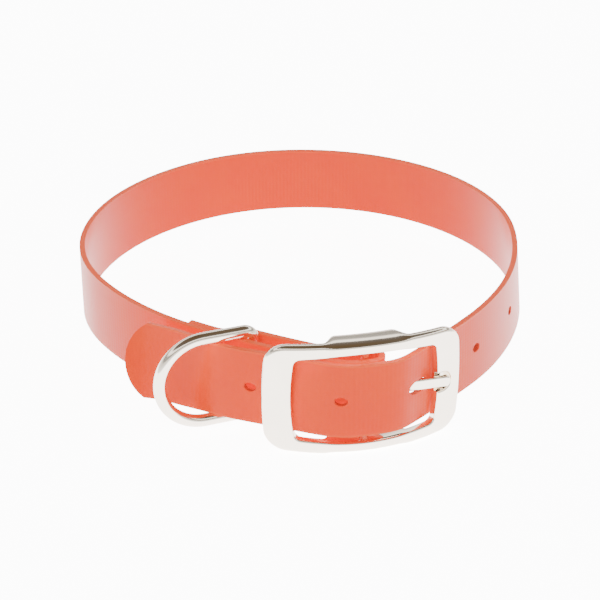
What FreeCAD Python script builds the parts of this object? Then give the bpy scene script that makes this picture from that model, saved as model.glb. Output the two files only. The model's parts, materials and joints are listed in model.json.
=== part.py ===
"""Webbing animal collar with a centre-bar buckle and a captured D-ring.

Millimetres.  +Z is the neck axis.  The origin is the middle of the neck opening, on the
plane that the buckle stands on.  The buckle's middle is on -Y and faces -Y.

The strap is one continuous strip.  Its fold end lies innermost, runs past the D-ring's bar,
turns round the buckle's centre bar, goes once round the neck, passes out over the centre bar
and ends as the free end, which lies outermost inside the D-ring.
"""
import FreeCAD, Part
import math
import os

import Sketcher
from FreeCAD import Placement, Rotation, Vector

os.makedirs("parts", exist_ok=True)
doc = FreeCAD.newDocument("Collar")

# ---------------------------------------------------------------- driving dimensions

# a size that follows others is written as a formula of them and a named clearance or wall
SIZES = [
    # strap section
    ("StrapWidth", 26.0), ("StrapThick", 2.0), ("CoatFace", 0.4), ("CoatEdge", 0.8),
    # places on the -Y axis: front of the buckle, and what is measured back from it
    ("FrontReach", 19.0), ("BuckleReach", "=NeckRadius + FrontReach"), ("BarBehind", 5.2), ("StrapProud", 1.2),
    # cast frame
    ("SideWidth", 9.2), ("FrameWidth", "=WindowWidth + 2 * SideWidth"), ("RailHeight", 4.3),
    ("FrameHeight", "=WindowHeight + 2 * RailHeight"), ("FrameThick", 3.2), ("FrameRadius", 70.0),
    ("WindowWidth", 50.0), ("WindowClear", 6.4),
    ("WindowHeight", "=StrapWidth + WindowClear"), ("RailBow", 1.5), ("SideBow", 1.2),
    ("FrameCorner", 6.0), ("WindowCorner", 1.6), ("FrameRound", 0.9),
    ("LugTop", 20.0), ("LugBase", 30.0), ("LugWall", 1.8),
    ("LugDepth", "=BarBehind + BarRadius + LugWall"),
    ("NotchClear", 3.2), ("NotchHeight", "=TongueWidth + NotchClear"), ("NotchLength", 5.2), ("NotchFloor", 7.1),
    # centre bar and tongue
    ("BarRadius", 1.6), ("BarSeat", 2.3), ("BarLength", "=WindowHeight + 2 * BarSeat"), ("TongueWidth", 3.8), ("TongueThick", 2.2),
    ("TipThick", 1.8), ("TipLift", 0.7), ("TipGap", 0.8),
    ("TongueLength", "=WindowWidth / 2 + NotchLength - TipGap"), ("EyeWall", 1.5),
    # D-ring
    ("RingWire", 4.3), ("RingClear", 0.4), ("RingInside", "=StrapWidth + RingClear"), ("RingLength", 32.6), ("RingCorner", 3.2),
    ("RingRest", 8.0),
    # rivets
    ("RivetRadius", 1.5), ("HeadRadius", 4.0), ("HeadThick", 1.1), ("RivetSpread", 6.0),
    ("RivetBack", 5.5), ("RivetLift", 0.05),
    # holes in the strap
    ("HoleLength", 4.2), ("HoleWidth", 3.0), ("HolePitch", 31.0), ("UsedHoleLength", 9.8), ("HoleClear", 1.0),
    ("UsedHoleWidth", "=TongueWidth + HoleClear"),
    ("UsedHoleAt", 21.9), ("UsedHolePull", 2.6),
    # clearances
    ("RunningFit", 0.05), ("SoftGap", 0.4), ("BarPlay", 0.45), ("LayerGap", 0.4),
    ("SlotGap", 0.6), ("TipCorner", 1.5), ("TongueRound", 0.5),
    # lay of the strap round the neck, from the buckle round the right side and back to it
    ("NeckRadius", 79.0), ("OverRun", 5.0), ("RightBend", 16.0), ("RightTurn", 35.0),
    ("RightEase", 440.0), ("RightEaseTurn", 4.5), ("RightSideTurn", 40.0),
    ("RightBackTurn", 80.0), ("BackTurn", 42.0), ("LeftBackTurn", 53.0),
    ("LeftInTurn", 33.5), ("LeftSideTurn", 27.0), ("LeftEase", 315.0), ("LeftEaseTurn", 9.0),
    ("LeftBend", 20.0), ("LeftTurn", 36.0),
    # lay of the fold end, from the centre bar to behind the D-ring
    ("FoldRun", 2.5), ("FoldEaseTurn", 6.0), ("RingBarTurn", 5.4), ("PinchBend", 6.0),
    ("PinchTurnIn", 2.0), ("RivetTurn", 2.0),
    # lay of the free end, from the buckle to its tip
    ("EndStart", 2.0), ("EndBend", 22.0), ("EndBendTurn", 33.0), ("EndRun", 28.6),
    ("EndEase", 60.0), ("EndEaseTurn", 11.0), ("EndTail", 14.0), ("EndFlare", 45.0),
    ("EndFlareTurn", 24.0), ("TipBelly", 2.0),
    ("TipRadius", "=StrapWidth / 2 + TipBelly"),
]

sheet = doc.addObject("Spreadsheet::Sheet", "Sizes")
for row, (alias, _) in enumerate(SIZES, start=1):
    sheet.set(f"A{row}", alias)
    sheet.setAlias(f"B{row}", alias)
for row, (_, value) in enumerate(SIZES, start=1):
    sheet.set(f"B{row}", str(value))
doc.recompute()


def size(alias):
    """The number now in the sheet under this alias."""
    return float(sheet.get(alias))


# ---------------------------------------------------------------- places worked out from them

THICK = size("StrapThick")
FRONT_Y = -size("BuckleReach")
FRAME_CENTRE_Y = FRONT_Y + size("FrameRadius")
BAR_Y = FRONT_Y + size("BarBehind")
OUTER_Y = FRONT_Y - size("StrapProud") + THICK / 2
FOLD_Y = BAR_Y - size("BarRadius") - size("SoftGap") - THICK / 2
POCKET = size("RingWire") + 2 * size("BarPlay") + THICK
PINCH_TURN = math.acos(1 - (POCKET - THICK - size("LayerGap")) / (2 * size("PinchBend")))
LIFT = "Sizes.FrameHeight / 2"

BOUND_BAR_Y = "(Sizes.BarBehind - Sizes.BuckleReach)"
BOUND_OUTER_Y = "(Sizes.StrapThick / 2 - Sizes.StrapProud - Sizes.BuckleReach)"
BOUND_FOLD_Y = f"({BOUND_BAR_Y} - Sizes.BarRadius - Sizes.SoftGap - Sizes.StrapThick / 2)"
BOUND_POCKET = "(Sizes.RingWire + 2 * Sizes.BarPlay + Sizes.StrapThick)"
BOUND_PINCH = ("acos(1 - (Sizes.RingWire + 2 * Sizes.BarPlay - Sizes.LayerGap)"
               " / (2 * Sizes.PinchBend))")


class Walk:
    """A chain of straight runs and tangent arcs in the XY plane.

    Positive turns go anticlockwise.  Each piece keeps its numbers and the expressions that
    bind them to the sheet.
    """

    def __init__(self, x, y, heading, bound_y):
        self.at = (x, y, heading)
        self.bound_y = bound_y
        self.pieces = []

    def run(self, alias):
        length = size(alias)
        x, y, heading = self.at
        end = (x + length * math.cos(heading), y + length * math.sin(heading), heading)
        self.pieces.append({"kind": "line", "from": self.at, "to": end, "length": length,
                            "bound": f"Sizes.{alias}"})
        self.at = end

    def bend(self, radius, turn, bound_radius, bound_turn):
        side = 1.0 if turn > 0 else -1.0
        x, y, heading = self.at
        centre = (x - side * radius * math.sin(heading), y + side * radius * math.cos(heading))
        dx, dy = arc_reach(heading, turn)
        end = (x + radius * dx, y + radius * dy, heading + turn)
        self.pieces.append({"kind": "arc", "from": self.at, "to": end, "side": side,
                            "centre": centre, "radius": radius, "turn": turn,
                            "length": radius * abs(turn),
                            "bound": bound_radius, "bound_turn": bound_turn})
        self.at = end

    def named_bend(self, radius_alias, turn_alias, side=1.0):
        self.bend(size(radius_alias), side * math.radians(size(turn_alias)),
                  f"Sizes.{radius_alias}", f"Sizes.{turn_alias} * 1 deg")

    def length(self):
        return sum(piece["length"] for piece in self.pieces)

    def place(self, distance):
        """Point and heading at a distance along the chain."""
        left = distance
        for piece in self.pieces:
            if left <= piece["length"] or piece is self.pieces[-1]:
                break
            left -= piece["length"]
        x, y, heading = piece["from"]
        if piece["kind"] == "line":
            return x + left * math.cos(heading), y + left * math.sin(heading), heading
        dx, dy = arc_reach(heading, piece["side"] * left / piece["radius"])
        return (x + piece["radius"] * dx, y + piece["radius"] * dy,
                heading + piece["side"] * left / piece["radius"])


def arc_reach(heading, turn):
    """Displacement of an arc of radius 1 that starts at a heading."""
    side = 1.0 if turn > 0 else -1.0
    return (side * (math.sin(heading + turn) - math.sin(heading)),
            -side * (math.cos(heading + turn) - math.cos(heading)))


# Bends of the loop in order from the buckle round the right side: what binds each radius.
# None marks the two whose radius closes the loop on the centre bar.
LOOP_BENDS = [
    ("Sizes.RightBend", size("RightBend"), "RightTurn"),
    ("Sizes.RightEase", size("RightEase"), "RightEaseTurn"),
    ("Sizes.NeckRadius * 1.45", size("NeckRadius") * 1.45, "RightSideTurn"),
    ("Sizes.NeckRadius * 1.02", size("NeckRadius") * 1.02, "RightBackTurn"),
    (None, None, "BackTurn"),
    ("Sizes.NeckRadius * 1.11", size("NeckRadius") * 1.11, "LeftBackTurn"),
    (None, None, "LeftInTurn"),
    ("Sizes.NeckRadius * 1.4", size("NeckRadius") * 1.4, "LeftSideTurn"),
    ("Sizes.LeftEase", size("LeftEase"), "LeftEaseTurn"),
    ("Sizes.LeftBend", size("LeftBend"), "LeftTurn"),
]


def closing_radii(start):
    """The two free radii that bring the loop back to the front of the centre bar."""
    x, y, heading = start
    free = []
    for _, radius, turn_alias in LOOP_BENDS:
        turn = math.radians(size(turn_alias))
        dx, dy = arc_reach(heading, turn)
        if radius is None:
            free.append((dx, dy))
        else:
            x += dx * radius
            y += dy * radius
        heading += turn
    (ax, ay), (bx, by) = free
    need_x, need_y = -x, FOLD_Y - y
    det = ax * by - ay * bx
    return [(need_x * by - need_y * bx) / det, (ax * need_y - ay * need_x) / det]


def loop_walk():
    """The strap from over the centre bar, once round the neck, to in front of the bar."""
    walk = Walk(0.0, OUTER_Y, 0.0, BOUND_OUTER_Y)
    walk.run("OverRun")
    closing = closing_radii(walk.at)
    for bound, radius, turn_alias in LOOP_BENDS:
        if radius is None:
            radius = closing.pop(0)
        walk.bend(radius, math.radians(size(turn_alias)), bound, f"Sizes.{turn_alias} * 1 deg")
    return walk


def free_end_walk():
    """The strap from over the centre bar, left, to its free tip."""
    walk = Walk(0.0, OUTER_Y, math.pi, BOUND_OUTER_Y)
    walk.run("EndStart")
    walk.named_bend("EndBend", "EndBendTurn", -1.0)
    walk.run("EndRun")
    walk.named_bend("EndEase", "EndEaseTurn", -1.0)
    walk.run("EndTail")
    walk.named_bend("EndFlare", "EndFlareTurn")
    return walk


def fold_walk():
    """The strap from in front of the centre bar, round it, to its fold end."""
    walk = Walk(0.0, FOLD_Y, 0.0, BOUND_FOLD_Y)
    walk.run("FoldRun")
    walk.bend(POCKET / 2, math.pi, f"{BOUND_POCKET} / 2", "180 deg")
    walk.run("FoldRun")
    walk.bend(size("LeftBend") - POCKET, -math.radians(size("LeftTurn")),
              f"Sizes.LeftBend - {BOUND_POCKET}", "Sizes.LeftTurn * 1 deg")
    # beside the layer in front of it until just past the ring's bar
    walk.bend(size("LeftEase") - POCKET, -math.radians(size("FoldEaseTurn")),
              f"Sizes.LeftEase - {BOUND_POCKET}", "Sizes.FoldEaseTurn * 1 deg")
    # in against that layer, where the rivets are
    walk.bend(size("PinchBend"), PINCH_TURN, "Sizes.PinchBend", BOUND_PINCH)
    walk.bend(size("PinchBend"), -PINCH_TURN - math.radians(size("PinchTurnIn")),
              "Sizes.PinchBend", f"{BOUND_PINCH} + Sizes.PinchTurnIn * 1 deg")
    walk.bend(size("LeftEase") - THICK - size("LayerGap"), -math.radians(size("RivetTurn")),
              "Sizes.LeftEase - Sizes.StrapThick - Sizes.LayerGap", "Sizes.RivetTurn * 1 deg")
    return walk


LOOP = loop_walk()
FREE = free_end_walk()
FOLD = fold_walk()


# ---------------------------------------------------------------- sketch and body helpers

def new_body(label, x=0.0, y=0.0, turn=0.0):
    """A body standing at mid height of the buckle, so that its own XY plane is the mid plane."""
    body = doc.addObject("PartDesign::Body", label)
    body.Label = label
    body.Placement = Placement(Vector(x, y, size("FrameHeight") / 2),
                               Rotation(Vector(0, 0, 1), turn))
    body.setExpression("Placement.Base.z", LIFT)
    return body


def origin_plane(body, role):
    return next(item for item in body.Origin.OriginFeatures if item.Role == role)


def new_sketch(body, name, role, offset=None):
    sketch = body.newObject("Sketcher::SketchObject", name)
    sketch.AttachmentSupport = [(origin_plane(body, role), "")]
    sketch.MapMode = "FlatFace"
    if offset is not None:
        sketch.AttachmentOffset = offset
    return sketch


def bind(sketch, kind, *where, value, expression=None):
    """Add a dimension to a sketch and tie it to the sheet."""
    index = sketch.addConstraint(Sketcher.Constraint(kind, *where, value))
    if expression is not None:
        name = f"{kind}{index}"
        sketch.renameConstraint(index, name)
        sketch.setExpression(f"Constraints.{name}", expression)
    return index


def add_walk(sketch, walk):
    """Draw a walk as tangent lines and arcs whose sizes are bound to the sheet."""
    ends = []
    for piece in walk.pieces:
        (x1, y1, _), (x2, y2, _) = piece["from"], piece["to"]
        if piece["kind"] == "line":
            edge = sketch.addGeometry(Part.LineSegment(Vector(x1, y1, 0), Vector(x2, y2, 0)))
            first, last = 1, 2
        else:
            cx, cy = piece["centre"]
            angles = [math.atan2(y1 - cy, x1 - cx), math.atan2(y2 - cy, x2 - cx)]
            first, last = 1, 2
            if piece["side"] < 0:
                angles.reverse()
                first, last = 2, 1
            circle = Part.Circle(Vector(cx, cy, 0), Vector(0, 0, 1), piece["radius"])
            edge = sketch.addGeometry(Part.ArcOfCircle(circle, *angles))
        ends.append((edge, first, last))
    for (edge, _, last), (after, first, _) in zip(ends, ends[1:]):
        sketch.addConstraint(Sketcher.Constraint("Tangent", edge, last, after, first))
    for (edge, _, _), piece in zip(ends, walk.pieces):
        if piece["kind"] == "line":
            bind(sketch, "Distance", edge, value=piece["length"], expression=piece["bound"])
            continue
        if piece["bound"] is not None:
            bind(sketch, "Radius", edge, value=piece["radius"], expression=piece["bound"])
        bind(sketch, "Angle", edge, value=abs(piece["turn"]), expression=piece["bound_turn"])
    edge, first, _ = ends[0]
    sketch.addConstraint(Sketcher.Constraint("Horizontal", edge))
    sketch.addConstraint(Sketcher.Constraint("PointOnObject", edge, first, -2))
    bind(sketch, "DistanceY", -1, 1, edge, first, value=walk.pieces[0]["from"][1],
         expression=walk.bound_y)
    return ends


def close_walk(sketch, ends):
    """Hold the loop's far end in front of the centre bar, which sets its two free radii."""
    edge, _, last = ends[-1]
    sketch.addConstraint(Sketcher.Constraint("PointOnObject", edge, last, -2))
    bind(sketch, "DistanceY", -1, 1, edge, last, value=FOLD_Y, expression=BOUND_FOLD_Y)


def add_rectangle(sketch, x1, y1, x2, y2):
    """Four joined lines, anticlockwise from the low corner."""
    corners = [(x1, y1), (x2, y1), (x2, y2), (x1, y2)]
    first = sketch.GeometryCount
    for here, there in zip(corners, corners[1:] + corners[:1]):
        sketch.addGeometry(Part.LineSegment(Vector(*here, 0), Vector(*there, 0)))
    for side in range(4):
        sketch.addConstraint(Sketcher.Constraint("Coincident", first + side, 2,
                                                 first + (side + 1) % 4, 1))
        direction = "Horizontal" if side % 2 == 0 else "Vertical"
        sketch.addConstraint(Sketcher.Constraint(direction, first + side))
    return first


def section_sketch(body, name, y, y_bound, thick, thick_bound, wide, wide_bound):
    """The strap's section on the YZ plane, centred on the strap's middle surface."""
    sketch = new_sketch(body, name, "YZ_Plane")
    first = add_rectangle(sketch, y - thick / 2, -wide / 2, y + thick / 2, wide / 2)
    bind(sketch, "DistanceX", first, 1, first, 2, value=thick, expression=thick_bound)
    bind(sketch, "DistanceY", first + 1, 1, first + 1, 2, value=wide, expression=wide_bound)
    bind(sketch, "DistanceX", -1, 1, first, 1, value=y - thick / 2,
         expression=f"{y_bound} - ({thick_bound}) / 2")
    bind(sketch, "DistanceY", -1, 1, first, 1, value=-wide / 2,
         expression=f"-({wide_bound}) / 2")
    return sketch


def add_pipe(body, name, kind, profile, path):
    pipe = body.newObject(f"PartDesign::{kind}", name)
    pipe.Profile = profile
    pipe.Spine = (path, [])
    pipe.Mode = "Standard"
    return pipe


def strap_point(walk, distance, outward=0.0):
    """A point on the strap's middle surface, moved outward from the neck, and its heading."""
    x, y, heading = walk.place(distance)
    if walk is LOOP:
        nx, ny = math.sin(heading), -math.cos(heading)
    else:
        nx, ny = -math.sin(heading), math.cos(heading)
    return x + outward * nx, y + outward * ny, heading


def face_offset(walk, distance, outward):
    """Attachment offset that turns the XZ plane to lie on the strap at a distance along it.

    The sketch's own x runs along the strap, its y is up, and its z points outward.
    """
    x, y, heading = strap_point(walk, distance, outward)
    along = heading if walk is LOOP else heading - math.pi
    # FlatFace on XZ_Plane shows x as sketch x, z as sketch y and -y as sketch z
    return Placement(Vector(x, 0, -y), Rotation(Vector(0, 1, 0), math.degrees(along)))


def add_polygon(sketch, points):
    """Closed outline of straight lines, with every corner tied to the sheet.

    Each point is (x, y, x expression, y expression).
    """
    first = sketch.GeometryCount
    count = len(points)
    for here, there in zip(points, points[1:] + points[:1]):
        sketch.addGeometry(Part.LineSegment(Vector(here[0], here[1], 0),
                                            Vector(there[0], there[1], 0)))
    for side in range(count):
        sketch.addConstraint(Sketcher.Constraint("Coincident", first + side, 2,
                                                 first + (side + 1) % count, 1))
    for side, (x, y, bound_x, bound_y) in enumerate(points):
        bind(sketch, "DistanceX", -1, 1, first + side, 1, value=x, expression=bound_x)
        bind(sketch, "DistanceY", -1, 1, first + side, 1, value=y, expression=bound_y)


def add_circle(sketch, x, y, radius, bound_x, bound_y, bound_radius):
    edge = sketch.addGeometry(Part.Circle(Vector(x, y, 0), Vector(0, 0, 1), radius))
    bind(sketch, "Radius", edge, value=radius, expression=bound_radius)
    bind(sketch, "DistanceX", -1, 1, edge, 3, value=x, expression=bound_x)
    bind(sketch, "DistanceY", -1, 1, edge, 3, value=y, expression=bound_y)


def add_oval(sketch, length, width, bound_length, bound_width):
    """Two half circles joined by straight runs, centred on the sketch's origin."""
    reach, radius = (length - width) / 2, width / 2
    quarter = math.pi / 2
    right = sketch.addGeometry(Part.ArcOfCircle(
        Part.Circle(Vector(reach, 0, 0), Vector(0, 0, 1), radius), -quarter, quarter))
    top = sketch.addGeometry(Part.LineSegment(Vector(reach, radius, 0), Vector(-reach, radius, 0)))
    left = sketch.addGeometry(Part.ArcOfCircle(
        Part.Circle(Vector(-reach, 0, 0), Vector(0, 0, 1), radius), quarter, 3 * quarter))
    low = sketch.addGeometry(Part.LineSegment(Vector(-reach, -radius, 0), Vector(reach, -radius, 0)))
    for edge, end, after, start in ((right, 2, top, 1), (top, 2, left, 1), (left, 2, low, 1),
                                    (low, 2, right, 1)):
        sketch.addConstraint(Sketcher.Constraint("Tangent", edge, end, after, start))
    sketch.addConstraint(Sketcher.Constraint("PointOnObject", right, 3, -1))
    sketch.addConstraint(Sketcher.Constraint("Horizontal", top))
    bind(sketch, "Radius", right, value=radius, expression=f"({bound_width}) / 2")
    for edge, sign in ((right, ""), (left, "-")):
        bind(sketch, "DistanceX", -1, 1, edge, 3, value=reach if sign == "" else -reach,
             expression=f"{sign}(({bound_length}) - ({bound_width})) / 2")


def bow_radius(half_span, bow):
    return (half_span ** 2 + bow ** 2) / (2 * bow)


def add_bowed_outline(sketch, width, height, corner):
    """Rounded rectangle whose sides bow outward.  The arguments are aliases in the sheet."""
    half_w, half_h, round_r = size(width) / 2, size(height) / 2, size(corner)
    rail_r = bow_radius(half_w, size("RailBow"))
    side_r = bow_radius(half_h, size("SideBow"))
    # centre of the upper right corner circle, which touches both bowed sides from inside
    a, b = Vector(0, half_h - rail_r, 0), Vector(half_w - side_r, 0, 0)
    reach_a, reach_b = rail_r - round_r, side_r - round_r
    apart = (b - a).Length
    along = (reach_a ** 2 - reach_b ** 2 + apart ** 2) / (2 * apart)
    across = math.sqrt(reach_a ** 2 - along ** 2)
    unit = (b - a) / apart
    corner_at = a + unit * along + Vector(unit.y, -unit.x, 0) * across
    rail_angle = math.atan2(corner_at.y - a.y, corner_at.x - a.x)
    side_angle = math.atan2(corner_at.y - b.y, corner_at.x - b.x)
    half = math.pi
    arcs = [(b.x, 0, side_r, -side_angle, side_angle),
            (corner_at.x, corner_at.y, round_r, side_angle, rail_angle),
            (0, a.y, rail_r, rail_angle, half - rail_angle),
            (-corner_at.x, corner_at.y, round_r, half - rail_angle, half - side_angle),
            (-b.x, 0, side_r, half - side_angle, half + side_angle),
            (-corner_at.x, -corner_at.y, round_r, half + side_angle, half + rail_angle),
            (0, -a.y, rail_r, half + rail_angle, -rail_angle),
            (corner_at.x, -corner_at.y, round_r, -rail_angle, -side_angle)]
    first = sketch.GeometryCount
    for x, y, radius, start, end in arcs:
        sketch.addGeometry(Part.ArcOfCircle(
            Part.Circle(Vector(x, y, 0), Vector(0, 0, 1), radius), start, end))
    for number in range(8):
        sketch.addConstraint(Sketcher.Constraint("Tangent", first + number, 2,
                                                 first + (number + 1) % 8, 1))
    rail = (f"((Sizes.{width} / 2) ^ 2 + Sizes.RailBow ^ 2) / (2 * Sizes.RailBow)")
    side = (f"((Sizes.{height} / 2) ^ 2 + Sizes.SideBow ^ 2) / (2 * Sizes.SideBow)")
    for number, axis, measure, sign, bound, reach in (
            (0, -1, "DistanceX", 1, side, width), (2, -2, "DistanceY", 1, rail, height),
            (4, -1, "DistanceX", -1, side, width), (6, -2, "DistanceY", -1, rail, height)):
        x, y, radius = arcs[number][:3]
        edge = first + number
        bind(sketch, "Radius", edge, value=radius, expression=bound)
        sketch.addConstraint(Sketcher.Constraint("PointOnObject", edge, 3, axis))
        bind(sketch, measure, -1, 1, edge, 3, value=x if measure == "DistanceX" else y,
             expression=f"{sign} * (Sizes.{reach} / 2 - {bound})")
    for number in (1, 3, 5, 7):
        bind(sketch, "Radius", first + number, value=round_r, expression=f"Sizes.{corner}")


def add_pad(body, name, sketch, height, bound):
    pad = body.newObject("PartDesign::Pad", name)
    pad.Profile = sketch
    pad.SideType = "Symmetric"
    pad.Length = height
    pad.setExpression("Length", bound)
    return pad


def cut(body, name, sketch, depth, bound=None):
    """Cut a sketch out of the body to both sides, and insist that it removes something."""
    doc.recompute()
    before = body.Shape.Volume
    pocket = body.newObject("PartDesign::Pocket", name)
    pocket.Profile = sketch
    pocket.SideType = "Symmetric"
    pocket.Length = depth
    if bound is not None:
        pocket.setExpression("Length", bound)
    doc.recompute()
    if not body.Shape.Volume < before - 0.01:
        raise RuntimeError(f"{name} removed nothing")
    return pocket


# ---------------------------------------------------------------- strap

# the row of holes, measured along the loop from over the bar; the tongue has pulled the hole
# in use longer, towards the bar
HOLE_PLACES = ([(LOOP, size("UsedHoleAt") + n * size("HolePitch")) for n in (1, 2)]
               + [(FREE, n * size("HolePitch") - size("UsedHoleAt")) for n in (1, 2)])
USED_HOLE_MIDDLE = size("UsedHoleAt") - size("UsedHolePull")
RIVET_AT = FOLD.length() - size("RivetBack")


def add_layers(body, thick, wide, bound_thick, bound_wide, hollow):
    """Sweep the strap's section along the loop, the free end and the fold end."""
    for name, walk, y, bound_y in (("Loop", LOOP, OUTER_Y, BOUND_OUTER_Y),
                                   ("Free", FREE, OUTER_Y, BOUND_OUTER_Y),
                                   ("Fold", FOLD, FOLD_Y, BOUND_FOLD_Y)):
        path = new_sketch(body, f"{name}Path", "XY_Plane")
        ends = add_walk(path, walk)
        if walk is LOOP:
            close_walk(path, ends)
        section = section_sketch(body, f"{name}Section", y, bound_y, thick, bound_thick,
                                 wide, bound_wide)
        add_pipe(body, f"{name}Layer", "AdditivePipe", section, path)
        if hollow:
            core = section_sketch(body, f"{name}Core", y, bound_y, CORE_THICK, BOUND_CORE_THICK,
                                  CORE_WIDE, BOUND_CORE_WIDE)
            hollow_parts.append((name, core, path))
    for name, core, path in hollow_parts:
        add_pipe(body, f"{name}Hollow", "SubtractivePipe", core, path)
    hollow_parts.clear()


def add_strap_cuts(body):
    """Holes, the tongue's slot, the rivets' holes and the rounded tip."""
    used = new_sketch(body, "UsedHoleOutline", "XZ_Plane", face_offset(LOOP, USED_HOLE_MIDDLE, 0))
    add_oval(used, size("UsedHoleLength"), size("UsedHoleWidth"),
             "Sizes.UsedHoleLength", "Sizes.UsedHoleWidth")
    cut(body, "UsedHole", used, 4.6)
    for number, (walk, distance) in enumerate(HOLE_PLACES, start=1):
        spare = new_sketch(body, f"SpareHoleOutline{number}", "XZ_Plane",
                           face_offset(walk, distance, 0))
        add_oval(spare, size("HoleLength"), size("HoleWidth"), "Sizes.HoleLength",
                 "Sizes.HoleWidth")
        cut(body, f"SpareHole{number}", spare, 2 * THICK, "Sizes.StrapThick * 2")

    slot = new_sketch(body, "TongueSlotOutline", "XY_Plane")
    left, right, bevel = -4.2, 9.0, 5.0
    front, back = OUTER_Y + THICK / 2 + 0.2, FOLD_Y + POCKET + THICK / 2 + 0.4
    bound_front = f"{BOUND_OUTER_Y} + Sizes.StrapThick / 2 + 0.2"
    bound_back = f"{BOUND_FOLD_Y} + {BOUND_POCKET} + Sizes.StrapThick / 2 + 0.4"
    add_polygon(slot, [(left, front, None, bound_front), (bevel, front, None, bound_front),
                       (right, front + 1.5, None, f"{bound_front} + 1.5"),
                       (right, back, None, bound_back), (left, back, None, bound_back)])
    cut(body, "TongueSlot", slot, size("TongueWidth") + 2 * size("SlotGap"),
        "Sizes.TongueWidth + 2 * Sizes.SlotGap")

    rivets = new_sketch(body, "RivetHolesOutline", "XZ_Plane", face_offset(FOLD, RIVET_AT, 1.2))
    for sign in (1, -1):
        add_circle(rivets, 0, sign * size("RivetSpread"), size("RivetRadius") + size("RivetLift"),
                   "0 mm", f"{sign} * Sizes.RivetSpread", "Sizes.RivetRadius + Sizes.RivetLift")
    cut(body, "RivetHoles", rivets, 6.4)

    tip = new_sketch(body, "TipOutline", "XZ_Plane", face_offset(FREE, FREE.length(), 0))
    radius, half = size("TipRadius"), size("StrapWidth") / 2 + 1
    centre = radius
    angle = math.asin(half / radius)
    arc = tip.addGeometry(Part.ArcOfCircle(Part.Circle(
        Vector(centre, 0, 0), Vector(0, 0, 1), radius), math.pi - angle, math.pi + angle))
    inner_x, outer_x = centre - radius * math.cos(angle), -3.0
    low = tip.addGeometry(Part.LineSegment(Vector(inner_x, -half, 0), Vector(outer_x, -half, 0)))
    end = tip.addGeometry(Part.LineSegment(Vector(outer_x, -half, 0), Vector(outer_x, half, 0)))
    top = tip.addGeometry(Part.LineSegment(Vector(outer_x, half, 0), Vector(inner_x, half, 0)))
    for edge, last, after, first in ((arc, 2, low, 1), (low, 2, end, 1), (end, 2, top, 1),
                                     (top, 2, arc, 1)):
        tip.addConstraint(Sketcher.Constraint("Coincident", edge, last, after, first))
    for edge, direction in ((low, "Horizontal"), (end, "Vertical"), (top, "Horizontal")):
        tip.addConstraint(Sketcher.Constraint(direction, edge))
    tip.addConstraint(Sketcher.Constraint("PointOnObject", arc, 3, -1))
    bind(tip, "DistanceX", -1, 1, arc, 3, value=radius, expression="Sizes.TipRadius")
    bind(tip, "Radius", arc, value=radius, expression="Sizes.TipRadius")
    bind(tip, "DistanceY", -1, 1, top, 1, value=half, expression="Sizes.StrapWidth / 2 + 1")
    bind(tip, "DistanceX", end, 1, -1, 1, value=-outer_x)
    cut(body, "TipRounding", tip, 5.0)


CORE_THICK = THICK - 2 * size("CoatFace")
CORE_WIDE = size("StrapWidth") - 2 * size("CoatEdge")
BOUND_CORE_THICK = "Sizes.StrapThick - 2 * Sizes.CoatFace"
BOUND_CORE_WIDE = "Sizes.StrapWidth - 2 * Sizes.CoatEdge"
hollow_parts = []

coating = new_body("strap_coating")
add_layers(coating, THICK, size("StrapWidth"), "Sizes.StrapThick", "Sizes.StrapWidth", True)
add_strap_cuts(coating)
webbing = new_body("strap_webbing")
add_layers(webbing, CORE_THICK, CORE_WIDE, BOUND_CORE_THICK, BOUND_CORE_WIDE, False)
add_strap_cuts(webbing)


# ---------------------------------------------------------------- buckle frame

BOUND_FRONT_Y = "-Sizes.BuckleReach"
BOUND_CENTRE_Y = "(Sizes.FrameRadius - Sizes.BuckleReach)"

frame = new_body("buckle_frame")
plan = new_sketch(frame, "FramePlan", "XY_Plane")
half_width = size("FrameWidth") / 2
outer_r, inner_r = size("FrameRadius"), size("FrameRadius") - size("FrameThick")
outer_angle, inner_angle = math.acos(half_width / outer_r), math.acos(half_width / inner_r)
centre = Vector(0, FRAME_CENTRE_Y, 0)
outer_arc = plan.addGeometry(Part.ArcOfCircle(
    Part.Circle(centre, Vector(0, 0, 1), outer_r), math.pi + outer_angle, -outer_angle))
right_end = plan.addGeometry(Part.LineSegment(
    centre + Vector(half_width, -outer_r * math.sin(outer_angle), 0),
    centre + Vector(half_width, -inner_r * math.sin(inner_angle), 0)))
inner_arc = plan.addGeometry(Part.ArcOfCircle(
    Part.Circle(centre, Vector(0, 0, 1), inner_r), math.pi + inner_angle, -inner_angle))
left_end = plan.addGeometry(Part.LineSegment(
    centre + Vector(-half_width, -inner_r * math.sin(inner_angle), 0),
    centre + Vector(-half_width, -outer_r * math.sin(outer_angle), 0)))
for edge, last, after, start in ((outer_arc, 2, right_end, 1), (right_end, 2, inner_arc, 2),
                                 (inner_arc, 1, left_end, 1), (left_end, 2, outer_arc, 1)):
    plan.addConstraint(Sketcher.Constraint("Coincident", edge, last, after, start))
plan.addConstraint(Sketcher.Constraint("Coincident", outer_arc, 3, inner_arc, 3))
plan.addConstraint(Sketcher.Constraint("PointOnObject", outer_arc, 3, -2))
plan.addConstraint(Sketcher.Constraint("Vertical", right_end))
plan.addConstraint(Sketcher.Constraint("Vertical", left_end))
bind(plan, "DistanceY", -1, 1, outer_arc, 3, value=FRAME_CENTRE_Y, expression=BOUND_CENTRE_Y)
bind(plan, "Radius", outer_arc, value=outer_r, expression="Sizes.FrameRadius")
bind(plan, "Radius", inner_arc, value=inner_r, expression="Sizes.FrameRadius - Sizes.FrameThick")
bind(plan, "DistanceX", -1, 1, right_end, 1, value=half_width, expression="Sizes.FrameWidth / 2")
bind(plan, "DistanceX", -1, 1, left_end, 1, value=-half_width, expression="-Sizes.FrameWidth / 2")
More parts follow.
